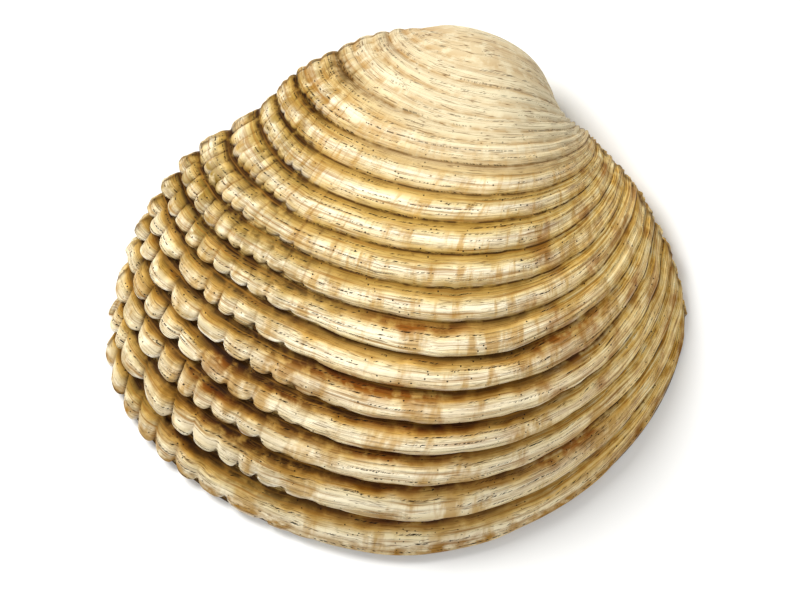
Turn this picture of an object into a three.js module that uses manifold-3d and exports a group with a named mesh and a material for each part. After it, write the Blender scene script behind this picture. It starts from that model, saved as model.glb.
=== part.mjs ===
import * as THREE from 'three';
import { mergeVertices } from 'three/addons/utils/BufferGeometryUtils.js';
import Module from 'manifold-3d';

// The right valve of a warty venus clam, laid on its rim with the outside up.
// Millimetres. +X is the front end, +Y the beak side, +Z the outside of the dome.

const wasm = await Module();
wasm.setup();

// Driving dimensions of the growth spiral, seen along the hinge
const hingeY = 14.8;
const ventralReach = 37.45;
const coilRate = 1.87;
const beak = [13.5, 15.3, 0];
const noseCurve = [1, 0.6, 0.75];

// Growth lines that steer the shape, oldest first, with the hinge turn of each in degrees
const lines = [1, 2, 4, 6, 8, 10, 12, 14, 16];
const turns = [140, 100, 76.5, 63.8, 50.8, 38.6, 26.4, 15.1, 0];
const tilts = [12, 8, 0, 0, 0, 0, 0, 0, 0];
const backSquareness = [1.8, 1.8, 1.8, 1.95, 1.7, 1.7, 1.7, 1.75, 1.8];
const frontSquareness = [2, 2, 2, 2, 2, 2, 2, 1.9, 1.85];

// Where each of those lines is lowest, crosses its two shoulders and ends beside the hinge
const lowestX = [6.2, 7.6, 8.3, 6.6, 4.9, 4.5, 3.2, 1.5, 0.6];
const backShoulder = [
  [3.4, 22.7, 3.6], [-0.8, 22.1, 6], [-8.8, 18.3, 8.4], [-12, 15.3, 8.4], [-17.2, 11.6, 7.7],
  [-19.8, 8.2, 6.4], [-21.7, 4.5, 4.5], [-23.3, -0.2, 2.2], [-24.2, -6.2, 0],
];
const frontShoulder = [
  [12.6, 17.3, 3], [14, 15.2, 4.5], [16.3, 13.3, 5], [17.7, 11.9, 5], [19.5, 10, 4.6],
  [21.3, 7.2, 4], [22.8, 4.3, 2.9], [24.1, 1.2, 1.5], [24.8, -2.4, 0],
];
const backHinge = [
  [7.9, 16], [3.6, 16.1], [-4.6, 15.3], [-10.8, 13.2], [-16, 10.5],
  [-18.6, 7.4], [-20.9, 4], [-22.9, -0.3], [-24.2, -6.2],
];
const frontHinge = [
  [13.9, 14.9], [14.3, 14.5], [15.6, 12.9], [16.8, 11.2], [18.7, 9.3],
  [20.5, 6.7], [22.1, 3.9], [23.6, 0.9], [24.8, -2.4],
];
const shoulderRound = 1.2;
const fullRoundRise = 3;
const tuckedWidth = 0.65;
const tuckedRise = 0.25;

// Concentric ribs, one between each two growth lines. Their height and the place of their
// crest are given at the growth lines that steer the shape
const firstRib = 3;
const lastLine = 16;
const plainRibs = [0, 0.04, 0.08, 0.17, 0.36, 0.69, 0.8, 0.8, 0.8];
const wartyRibs = [0, 0.07, 0.15, 0.31, 0.49, 0.69, 0.8, 0.8, 0.8];
const ribCrests = [0.62, 0.62, 0.62, 0.62, 0.65, 0.78, 0.8, 0.8, 0.8];
const ribRows = [0, 0.2, 0.6, 1];
const lipRow = 0.7;
const ribBackCurve = 0.6;
const frontFade = 0.8;
const frontZone = [1.05, 1.75];
const backEdge = [-1, -0.4];
const frontEdge = [2.3, 3];

// Warts: the ribs break into beads on the back part of the valve, wider towards the middle
const wartCount = 13;
const wartSpread = 1.19;
const wartZone = [0.35, 0.63];
const wartSwell = 0.4;
const wartCut = 0.7;
const wartRoundness = 0.6;
const wartCrownCurve = 0.7;
const wartShares = [0.75, 1.25];
const columnsPerWart = 3;

// The inside: a smooth bowl, the same form drawn in towards the middle of the rim
const rimMiddle = [0, -2, 0];
const bowlScale = [0.93, 0.93, 0.92];
const bowlDrop = 0.02;
const plateScale = [0.97, 0.97, 0.97];

// Hinge plate under the beak, with a shallow pocket that holds three radiating teeth
const plateThickness = 2.4;
const plateEdge = [[-11, 11.5], [-4, 12.6], [3, 11.4], [9, 8.8], [14, 7.4], [19, 8]];
const plateFarSide = [[24, 12], [14, 22], [-10, 22]];
const pocketDepth = 1.3;
const pocketOutline = [[0, 14.1], [5, 14.7], [10, 14.4], [13.6, 12.8], [15.2, 10.2], [12, 9.8], [6, 12]];
const toothTips = [[2.6, 13.5], [7.4, 12.1], [12.8, 10.5]];
const toothRoot = [13, 14];
const toothWidth = 0.9;
const toothTaper = 0.6;
const toothGap = 0.2;
const toothSink = 0.1;

// Value at growth line t of a track that runs smoothly through its values, without overshoot
function along(track, t) {
  const last = lines.length - 1;
  const clamped = Math.min(Math.max(t, lines[0]), lines[last]);
  const i = Math.min(lines.findIndex((line) => line >= clamped) || 1, last) - 1;
  const step = lines[i + 1] - lines[i];
  const f = (clamped - lines[i]) / step;
  const rise = track[i + 1] - track[i];
  const startSlope = slope(track, i) * step;
  const endSlope = slope(track, i + 1) * step;
  const bend = f * f * (3 - 2 * f);
  return track[i] + rise * bend + startSlope * f * (1 - f) ** 2 - endSlope * f * f * (1 - f);
}

function slope(track, i) {
  const before = i > 0 ? (track[i] - track[i - 1]) / (lines[i] - lines[i - 1]) : null;
  const after = i < track.length - 1 ? (track[i + 1] - track[i]) / (lines[i + 1] - lines[i]) : null;
  if (before === null) return after;
  if (after === null) return before;
  return before * after <= 0 ? 0 : (2 * before * after) / (before + after);
}

function pointAlong(track, t) {
  const part = (axis) => along(track.map((point) => point[axis] ?? 0), t);
  return new THREE.Vector3(part(0), part(1), part(2));
}

function smoothstep(from, to, x) {
  return THREE.MathUtils.smoothstep(x, from, to);
}

// Lowest point of a growth line: the line swings about the hinge as it shrinks
function lowestPoint(t) {
  const turn = THREE.MathUtils.degToRad(along(turns, t));
  const reach = ventralReach * Math.exp(-turn / coilRate);
  return new THREE.Vector3(along(lowestX, t), hingeY - reach * Math.cos(turn), reach * Math.sin(turn));
}

// A quarter of a growth line from a shoulder, where s is 0, to the lowest point, where s is 1
function quarter(shoulder, lowest, tilt, squareness, s) {
  const side = new THREE.Vector3(Math.cos(tilt), -Math.sin(tilt), 0);
  const reach = side.multiplyScalar(shoulder.clone().sub(lowest).dot(side));
  const corner = shoulder.clone().sub(reach);
  const angle = (s * Math.PI) / 2;
  const out = Math.max(Math.cos(angle), 0) ** (2 / squareness);
  const down = Math.sin(angle) ** (2 / squareness);
  return corner.clone().addScaledVector(reach, out).addScaledVector(lowest.clone().sub(corner), down);
}

// The tucked-in strip from a shoulder, where s is 0, to the hinge side, where s is 1
function strip(shoulder, lowest, end, s) {
  const away = new THREE.Vector3(0, shoulder.y - lowest.y, shoulder.z - lowest.z).normalize();
  const round = shoulderRound * Math.min(1, shoulder.z / fullRoundRise);
  const first = shoulder.clone().addScaledVector(away, round);
  const second = end.clone().lerp(shoulder, tuckedWidth);
  second.z = shoulder.z * tuckedRise;
  return new THREE.CubicBezierCurve3(shoulder, first, second, end).getPoint(s);
}

// Smooth surface point: t is the growth line; q runs from the back hinge side at -1, over the
// back shoulder at 0, the lowest point at 1 and the front shoulder at 2, to the front at 3
function smoothPoint(t, q) {
  if (t < lines[0]) return nosePoint(t / lines[0], q);
  const lowest = lowestPoint(t);
  const tilt = THREE.MathUtils.degToRad(along(tilts, t));
  const back = q < 1;
  const shoulder = pointAlong(back ? backShoulder : frontShoulder, t);
  if (q < 0 || q > 2) {
    const end = pointAlong(back ? backHinge : frontHinge, t);
    return strip(shoulder, lowest, end, back ? -q : q - 2);
  }
  const squareness = along(back ? backSquareness : frontSquareness, t);
  return quarter(shoulder, lowest, tilt, squareness, back ? q : 2 - q);
}

// The nose of the beak: the first growth line drawn in to the tip
function nosePoint(f, q) {
  const point = smoothPoint(lines[0], q);
  const tip = new THREE.Vector3(...beak);
  const pull = new THREE.Vector3(...noseCurve.map((power) => f ** power));
  return point.sub(tip).multiply(pull).add(tip);
}

// Outward direction of the smooth surface, from points a small step away on each side
function smoothNormal(t, q) {
  const step = 0.02;
  const qStep = q >= 1 && q < 1 + step ? 2 * step : step;
  const alongLine = smoothPoint(t, Math.min(q + qStep, 3)).sub(smoothPoint(t, Math.max(q - step, -1)));
  const acrossLine = smoothPoint(Math.min(t + step, lastLine), q).sub(smoothPoint(t - step, q));
  return acrossLine.cross(alongLine).normalize();
}

// Rise of a rib over its width: a gentle back and a steep rounded lip
function ribProfile(t, roundness) {
  const f = t - Math.floor(t);
  const crest = along(ribCrests, t);
  const pastCrest = Math.max(f - crest, 0) / (1 - crest);
  const lip = f < crest ? (f / crest) ** ribBackCurve : Math.sqrt(1 - pastCrest ** 2);
  const round = Math.sin(Math.PI * f) ** wartCrownCurve;
  return THREE.MathUtils.lerp(lip, round, roundness);
}

// Counts the warts from the back shoulder, whole on their crowns
function wartPhase(q) {
  return wartCount * Math.sign(q) * Math.abs(q) ** wartSpread;
}

function wartColumn(phase) {
  return (phase / wartCount) ** (1 / wartSpread);
}

// A repeatable uneven value from 0 to 1 for each wart
function uneven(row, column) {
  const wave = Math.sin(row * 12.9898 + column * 78.233) * 43758.5453;
  return wave - Math.floor(wave);
}

function relief(t, q) {
  if (t <= firstRib || t >= lastLine) return 0;
  const warty = 1 - smoothstep(...wartZone, q);
  const size = THREE.MathUtils.lerp(along(plainRibs, t), along(wartyRibs, t), warty);
  const front = 1 - frontFade * smoothstep(...frontZone, q);
  const edge = smoothstep(...backEdge, q) * (1 - smoothstep(...frontEdge, q));
  const phase = wartPhase(q);
  const bead = 0.5 + 0.5 * Math.cos(2 * Math.PI * phase);
  const share = THREE.MathUtils.lerp(...wartShares, uneven(Math.floor(t), Math.round(phase)));
  const wart = 1 + warty * (wartSwell * bead * share - wartCut * (1 - bead));
  return size * front * edge * ribProfile(t, wartRoundness * warty) * wart;
}

// Surface point with its relief, which stays above the plane of the rim where the shell tucks in
function surfacePoint(t, q) {
  const height = relief(t, q);
  const point = smoothPoint(t, q);
  if (height === 0) return point;
  const normal = smoothNormal(t, q);
  const room = normal.z < 0 ? (-0.5 * point.z) / normal.z : height;
  return point.addScaledVector(normal, Math.min(height, room));
}

// Rows before the first rib, and columns between the last wart and the front shoulder
const beakRows = [0.15, 0.4, 0.7, 1, 1.4, 1.8, 2.2, 2.6];
const plainColumns = 6;
const frontColumns = 12;

// Growth lines of the outside: each rib has rows up to its crest and one on its lip
function growthRows() {
  const rows = [...beakRows];
  for (let rib = firstRib; rib < lastLine; rib += 1) {
    const crest = along(ribCrests, rib + 0.5);
    rows.push(...ribRows.map((f) => rib + f * crest), rib + THREE.MathUtils.lerp(crest, 1, lipRow));
  }
  rows.push(lastLine);
  return rows;
}

// Columns of the outside: some for each wart, then further apart
function growthColumns() {
  const columns = [-1, -0.6, -0.3];
  const spread = (from, to, count) => {
    for (let i = 0; i < count; i += 1) columns.push(from + ((to - from) * i) / count);
  };
  const wartSteps = Math.round(columnsPerWart * wartPhase(wartZone[1]));
  for (let i = 0; i < wartSteps; i += 1) columns.push(wartColumn(i / columnsPerWart));
  spread(wartColumn(wartSteps / columnsPerWart), 1, plainColumns);
  spread(1, 2, frontColumns);
  columns.push(2, 2.3, 2.6, 3);
  return columns;
}

// Rows of the smooth inside, which starts below the nose, so that the beak is thick
const noseRows = [0.4, 1, 1.6];
const bowlRows = [2.4, 3.4, 4.6, 6, 7.4, 8.8, 10.2, 11.6, 13, 14.2, 15.2, lastLine];
const bowlColumnsPerQuarter = 12;

function bowlColumns() {
  const steps = Array.from({ length: 2 * bowlColumnsPerQuarter }, (_, i) => i / bowlColumnsPerQuarter);
  return [-1, -0.5, ...steps, 2, 2.5, 3];
}

// Closed mesh over a grid of growth lines and columns, with a flat face over its rim
function domeSolid(rows, columns, pointAt) {
  const points = [new THREE.Vector3(...beak), new THREE.Vector3(...rimMiddle)];
  const faces = [];
  const add = (point) => points.push(point) - 1;
  const grid = rows.map((t) => columns.map((q) => add(pointAt(t, q))));
  for (let c = 0; c + 1 < columns.length; c += 1) {
    faces.push(0, grid[0][c], grid[0][c + 1]);
    for (let r = 0; r + 1 < rows.length; r += 1) {
      faces.push(grid[r][c], grid[r + 1][c], grid[r + 1][c + 1]);
      faces.push(grid[r][c], grid[r + 1][c + 1], grid[r][c + 1]);
    }
  }
  const last = columns.length - 1;
  const back = grid.map((row) => row[0]);
  const front = grid.map((row) => row[last]).reverse();
  const rim = [0, ...back, ...grid[rows.length - 1].slice(1, last), ...front];
  rim.forEach((corner, i) => faces.push(1, rim[(i + 1) % rim.length], corner));
  return solidOf(points.flatMap((point) => point.toArray()), faces);
}

function solidOf(coordinates, corners) {
  const vertProperties = new Float32Array(coordinates);
  const triVerts = new Uint32Array(corners);
  return new wasm.Manifold(new wasm.Mesh({ numProp: 3, vertProperties, triVerts }));
}

// Evenly spaced points on a smooth curve through the given ones
function curved(points, count) {
  const curve = new THREE.SplineCurve(points.map((point) => new THREE.Vector2(...point)));
  return curve.getPoints(count).map((point) => point.toArray());
}

// An outline pushed up from height low to height high
function slab(outline, low, high) {
  const shape = new THREE.Shape(outline.map((point) => new THREE.Vector2(...point)));
  const block = new THREE.ExtrudeGeometry(shape, { depth: high - low, bevelEnabled: false });
  block.translate(0, 0, low);
  block.deleteAttribute('normal');
  block.deleteAttribute('uv');
  const merged = mergeVertices(block);
  return solidOf(merged.attributes.position.array, merged.index.array);
}

// A tooth: a wedge that widens from the root below the beak to its tip
function tooth(tip) {
  const root = new THREE.Vector2(...toothRoot);
  const end = new THREE.Vector2(...tip);
  const along = end.clone().sub(root).normalize();
  const across = new THREE.Vector2(-along.y, along.x).multiplyScalar(toothWidth / 2);
  const start = root.clone().addScaledVector(along, toothWidth);
  const corners = [
    start.clone().addScaledVector(across, toothTaper),
    start.clone().addScaledVector(across, -toothTaper),
    end.clone().sub(across),
    end.clone().add(across),
  ];
  return slab(corners.map((corner) => corner.toArray()), toothGap, plateThickness - toothSink);
}

// The smooth dome, drawn in towards the middle of the rim
function drawnInDome(rows, scale) {
  const solid = domeSolid(rows, bowlColumns(), smoothPoint);
  const [x, y, z] = rimMiddle;
  return solid.translate([-x, -y, -z]).scale(scale).translate(rimMiddle);
}

function hingePlate() {
  const inner = drawnInDome([...noseRows, ...bowlRows], plateScale);
  const outline = [...curved(plateEdge, 20), ...plateFarSide];
  const plate = slab(outline, 0, plateThickness).intersect(inner);
  const pocket = slab(curved([...pocketOutline, pocketOutline[0]], 28).slice(0, -1), -1, pocketDepth);
  return toothTips.map(tooth).reduce((solid, next) => solid.add(next), plate.subtract(pocket));
}

function valveSolid() {
  const dome = domeSolid(growthRows(), growthColumns(), surfacePoint);
  const bowl = drawnInDome(bowlRows, bowlScale).translate([0, 0, -bowlDrop]);
  return dome.subtract(bowl).add(hingePlate());
}

function toGeometry(solid) {
  const mesh = solid.getMesh();
  const geometry = new THREE.BufferGeometry();
  geometry.setAttribute('position', new THREE.BufferAttribute(mesh.vertProperties, 3));
  geometry.setIndex(new THREE.BufferAttribute(mesh.triVerts, 1));
  geometry.computeVertexNormals();
  return geometry;
}

const shellMaterial = new THREE.MeshStandardMaterial({ color: '#e6d3a4', roughness: 0.6, metalness: 0 });
const valve = new THREE.Mesh(toGeometry(valveSolid()), shellMaterial);
valve.name = 'right_valve';

const group = new THREE.Group();
group.add(valve);

export default group;
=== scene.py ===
"""The right valve of a warty venus clam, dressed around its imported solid.

Shapes are worked out in millimetres and handed to Blender in metres. +X is the front end,
+Y the beak side and +Z the outside of the dome. A place on the valve is a growth line t, from
0 at the beak to 16 at the margin, and a column q, from -1 at the back hinge side, over 0 at the
back shoulder, 1 at the lowest point and 2 at the front shoulder, to 3 at the front hinge side.
"""

import logging
import math
from dataclasses import dataclass, field
from enum import Enum, IntEnum
from typing import Any, Sequence

import bpy
import numpy as np
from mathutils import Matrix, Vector


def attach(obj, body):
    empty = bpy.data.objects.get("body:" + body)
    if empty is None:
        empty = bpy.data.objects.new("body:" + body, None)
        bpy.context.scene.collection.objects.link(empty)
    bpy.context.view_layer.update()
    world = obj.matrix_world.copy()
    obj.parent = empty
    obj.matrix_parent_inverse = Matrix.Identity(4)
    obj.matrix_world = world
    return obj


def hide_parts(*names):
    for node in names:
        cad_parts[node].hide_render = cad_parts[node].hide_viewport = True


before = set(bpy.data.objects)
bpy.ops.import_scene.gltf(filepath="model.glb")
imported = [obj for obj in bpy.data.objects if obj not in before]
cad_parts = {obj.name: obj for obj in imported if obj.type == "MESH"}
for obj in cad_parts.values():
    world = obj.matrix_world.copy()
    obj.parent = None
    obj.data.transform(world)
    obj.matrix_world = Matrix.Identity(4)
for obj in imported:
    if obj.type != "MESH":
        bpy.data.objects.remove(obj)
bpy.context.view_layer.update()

MM = 0.001
WELD_MM = 0.002
FIRST_COLUMN = -1.0
LAST_COLUMN = 3.0
LOG = logging.getLogger("clam")

# Sockets of a colour mix: its share, the colour below, the colour on top and the result
SHARE, UNDER, OVER, MIXED = 0, 6, 7, 2

Array = np.ndarray
Point = tuple[float, float, float]
Stops = tuple[tuple[float, float], ...]
Plan = tuple[tuple[float, float], ...]
Tree = bpy.types.NodeTree
Socket = bpy.types.NodeSocket


def smoothstep(start: float, end: float, x: Array) -> Array:
    """Rises smoothly from 0 at start to 1 at end.

    Args:
        start: where the rise begins.
        end: where it is complete.
        x: the values.

    Returns:
        The risen values, from 0 to 1.
    """
    f = np.clip((x - start) / (end - start), 0.0, 1.0)
    return f * f * (3.0 - 2.0 * f)


def mix(a: Array, b: Array, share: Array) -> Array:
    """Returns a where share is 0 and b where share is 1."""
    return a + (b - a) * share


def trend(stops: Stops, x: Array) -> Array:
    """Runs smoothly from stop to stop, and stays level before the first and past the last.

    Args:
        stops: the place and value of each stop, in rising order of place.
        x: the places asked for.

    Returns:
        One value for each of x.
    """
    value = np.full(np.shape(x), stops[0][1], float)
    for (start, low), (end, high) in zip(stops, stops[1:]):
        value = value + (high - low) * smoothstep(start, end, x)
    return value


def spread(stops: Sequence[tuple[float, int]], end: float) -> Array:
    """Values that run through several stretches, each with its own count.

    Args:
        stops: the start of each stretch and how many values it has.
        end: the last value.

    Returns:
        The rising values, with end as the last.
    """
    starts = [start for start, _ in stops] + [end]
    parts = [
        np.linspace(start, starts[i + 1], count, endpoint=False)
        for i, (start, count) in enumerate(stops)
    ]
    return np.concatenate(parts + [np.array([end])])


@dataclass(frozen=True)
class Grain:
    """Smooth uneven values: how many each unit of two coordinates has, their seed and range."""

    first: float
    second: float
    seed: int
    low: float = 0.0
    high: float = 1.0

    def at(self, u: Array, v: Array) -> Array:
        """Reads the values, which are the same in every run.

        Args:
            u: first coordinate.
            v: second coordinate.

        Returns:
            Values from low to high.
        """
        side = 128
        table = np.random.default_rng(self.seed).random((side, side))
        u, v = np.broadcast_arrays(u * self.first, v * self.second)
        iu, iv = np.floor(u).astype(int), np.floor(v).astype(int)
        fu, fv = smoothstep(0.0, 1.0, u - iu), smoothstep(0.0, 1.0, v - iv)
        near = mix(table[iu % side, iv % side], table[(iu + 1) % side, iv % side], fu)
        far = mix(table[iu % side, (iv + 1) % side], table[(iu + 1) % side, (iv + 1) % side], fu)
        return mix(self.low, self.high, mix(near, far, fv))


@dataclass(frozen=True)
class Flank:
    """One end of the valve at each steering line: how square it is, its shoulder, its hinge side."""

    squareness: tuple[float, ...]
    shoulder: tuple[Point, ...]
    hinge: tuple[Point, ...]


@dataclass(frozen=True)
class Growth:
    """The smooth form of the valve, as the growth lines that it laid down one after another.

    A growth line swings about the hinge as the spiral shrinks. Each has a back and a front
    quarter, from its lowest point to its shoulders, and tucked-in strips beside the hinge.
    """

    hinge_y: float = 14.8
    ventral_reach: float = 37.45
    coil_rate: float = 1.87
    beak: Point = (13.5, 15.3, 0.0)
    nose_curve: Point = (1.0, 0.6, 0.75)
    shoulder_round: float = 1.2
    full_round_rise: float = 3.0
    tucked_width: float = 0.65
    tucked_rise: float = 0.25
    lines: tuple[float, ...] = (1, 2, 4, 6, 8, 10, 12, 14, 16)
    turns: tuple[float, ...] = (140, 100, 76.5, 63.8, 50.8, 38.6, 26.4, 15.1, 0)
    tilts: tuple[float, ...] = (12, 8, 0, 0, 0, 0, 0, 0, 0)
    lowest_x: tuple[float, ...] = (6.2, 7.6, 8.3, 6.6, 4.9, 4.5, 3.2, 1.5, 0.6)
    back: Flank = Flank(
        squareness=(1.8, 1.8, 1.8, 1.95, 1.7, 1.7, 1.7, 1.75, 1.8),
        shoulder=(
            (3.4, 22.7, 3.6), (-0.8, 22.1, 6), (-8.8, 18.3, 8.4), (-12, 15.3, 8.4),
            (-17.2, 11.6, 7.7), (-19.8, 8.2, 6.4), (-21.7, 4.5, 4.5), (-23.3, -0.2, 2.2),
            (-24.2, -6.2, 0),
        ),
        hinge=(
            (7.9, 16, 0), (3.6, 16.1, 0), (-4.6, 15.3, 0), (-10.8, 13.2, 0), (-16, 10.5, 0),
            (-18.6, 7.4, 0), (-20.9, 4, 0), (-22.9, -0.3, 0), (-24.2, -6.2, 0),
        ),
    )
    front: Flank = Flank(
        squareness=(2, 2, 2, 2, 2, 2, 2, 1.9, 1.85),
        shoulder=(
            (12.6, 17.3, 3), (14, 15.2, 4.5), (16.3, 13.3, 5), (17.7, 11.9, 5), (19.5, 10, 4.6),
            (21.3, 7.2, 4), (22.8, 4.3, 2.9), (24.1, 1.2, 1.5), (24.8, -2.4, 0),
        ),
        hinge=(
            (13.9, 14.9, 0), (14.3, 14.5, 0), (15.6, 12.9, 0), (16.8, 11.2, 0), (18.7, 9.3, 0),
            (20.5, 6.7, 0), (22.1, 3.9, 0), (23.6, 0.9, 0), (24.8, -2.4, 0),
        ),
    )

    def along(self, track: Sequence[Any], t: Array) -> Array:
        """Value of a track at growth lines t, running smoothly without overshoot.

        Args:
            track: one number or point for each steering line.
            t: the growth lines asked for.

        Returns:
            One number or point for each of t.
        """
        knots = np.array(self.lines, float)
        values = np.array(track, float).reshape(len(knots), -1)
        slopes = self._slopes(knots, values)
        t = np.clip(t, knots[0], knots[-1])
        i = np.clip(np.searchsorted(knots, t, side="left") - 1, 0, len(knots) - 2)
        step = (knots[i + 1] - knots[i])[:, None]
        f = (t - knots[i])[:, None] / step
        rise = (values[i + 1] - values[i]) * f * f * (3 - 2 * f)
        bends = slopes[i] * step * f * (1 - f) ** 2 - slopes[i + 1] * step * f * f * (1 - f)
        result = values[i] + rise + bends
        return result if np.ndim(track[0]) else result[:, 0]

    @staticmethod
    def _slopes(knots: Array, values: Array) -> Array:
        """Finds the slope of a track at each steering line, flat where the track turns back.

        Args:
            knots: the steering lines.
            values: the track's values there.

        Returns:
            The slopes.
        """
        rates = np.diff(values, axis=0) / np.diff(knots)[:, None]
        before, after = rates[:-1], rates[1:]
        product, total = before * after, before + after
        safe = np.where(product > 0, total, 1.0)
        inner = np.where(product > 0, 2 * product / safe, 0.0)
        return np.vstack([rates[:1], inner, rates[-1:]])

    def lowest_points(self, t: Array) -> Array:
        """Finds the lowest point of each growth line, on the spiral about the hinge.

        Args:
            t: the growth lines.

        Returns:
            One point for each of t.
        """
        turn = np.radians(self.along(self.turns, t))
        reach = self.ventral_reach * np.exp(-turn / self.coil_rate)
        x = self.along(self.lowest_x, t)
        return np.stack([x, self.hinge_y - reach * np.cos(turn), reach * np.sin(turn)], axis=1)

    def _quarter(self, flank: Flank, t: Array, s: Array) -> Array:
        """Draws the quarters of growth lines from a shoulder to the lowest point.

        Args:
            flank: the end of the valve.
            t: the growth lines.
            s: places along each quarter, 0 at the shoulder and 1 at the lowest point.

        Returns:
            Points, as t by s by 3.
        """
        lowest = self.lowest_points(t)
        tilt = np.radians(self.along(self.tilts, t))
        level = np.stack([np.cos(tilt), -np.sin(tilt), np.zeros_like(tilt)], axis=1)
        shoulder = self.along(flank.shoulder, t)
        power = 2 / self.along(flank.squareness, t)[:, None]
        reach = level * np.sum((shoulder - lowest) * level, axis=1)[:, None]
        corner = shoulder - reach
        angle = s[None, :] * math.pi / 2
        out = np.maximum(np.cos(angle), 0) ** power
        down = np.sin(angle) ** power
        sideways = reach[:, None] * out[..., None]
        return corner[:, None] + sideways + (lowest - corner)[:, None] * down[..., None]

    def _strip(self, flank: Flank, t: Array, s: Array) -> Array:
        """Draws the tucked-in strip from a shoulder to the hinge side.

        Args:
            flank: the end of the valve.
            t: the growth lines.
            s: places along the strip, 0 at the shoulder and 1 at the hinge side.

        Returns:
            Points, as t by s by 3.
        """
        shoulder = self.along(flank.shoulder, t)
        end = self.along(flank.hinge, t)
        away = (shoulder - self.lowest_points(t)) * np.array([0.0, 1.0, 1.0])
        away /= np.linalg.norm(away, axis=1)[:, None]
        rounding = np.minimum(1, shoulder[:, 2:] / self.full_round_rise)
        first = shoulder + away * (self.shoulder_round * rounding)
        second = mix(end, shoulder, self.tucked_width)
        second[:, 2] = shoulder[:, 2] * self.tucked_rise
        a, b, c, d = (point[:, None] for point in (shoulder, first, second, end))
        s = s[None, :, None]
        return (1 - s) ** 3 * a + 3 * (1 - s) ** 2 * s * b + 3 * (1 - s) * s * s * c + s**3 * d

    def surface(self, t: Array, q: Array) -> Array:
        """Smooth surface points.

        Args:
            t: growth lines, oldest first.
            q: columns, from back to front.

        Returns:
            An array of rows by columns by 3, in millimetres.
        """
        body = np.maximum(t, self.lines[0])
        zones = [
            self._strip(self.back, body, -q[q < 0]),
            self._quarter(self.back, body, q[(q >= 0) & (q < 1)]),
            self._quarter(self.front, body, 2 - q[(q >= 1) & (q <= 2)]),
            self._strip(self.front, body, q[q > 2] - 2),
        ]
        points = np.concatenate(zones, axis=1)
        nose = np.minimum(t / self.lines[0], 1.0)[:, None, None]
        beak = np.array(self.beak)
        return beak + (points - beak) * nose ** np.array(self.nose_curve)

    def normals(self, t: Array, q: Array) -> Array:
        """Finds the outward directions at the points of surface(t, q).

        Args:
            t: growth lines, oldest first.
            q: columns, from back to front.

        Returns:
            An array of rows by columns by 3.
        """
        step, tiny = 0.004, 1e-9
        later, sooner = np.minimum(t + step, self.lines[-1]), np.maximum(t - step, 0)
        across = self.surface(later, q) - self.surface(sooner, q)
        ahead = np.where((q >= 1) & (q < 1 + step), 2 * step, step)
        after, before = np.minimum(q + ahead, LAST_COLUMN), np.maximum(q - step, FIRST_COLUMN)
        normal = np.cross(across, self.surface(t, after) - self.surface(t, before))
        return normal / np.maximum(np.linalg.norm(normal, axis=2, keepdims=True), tiny)


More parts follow.
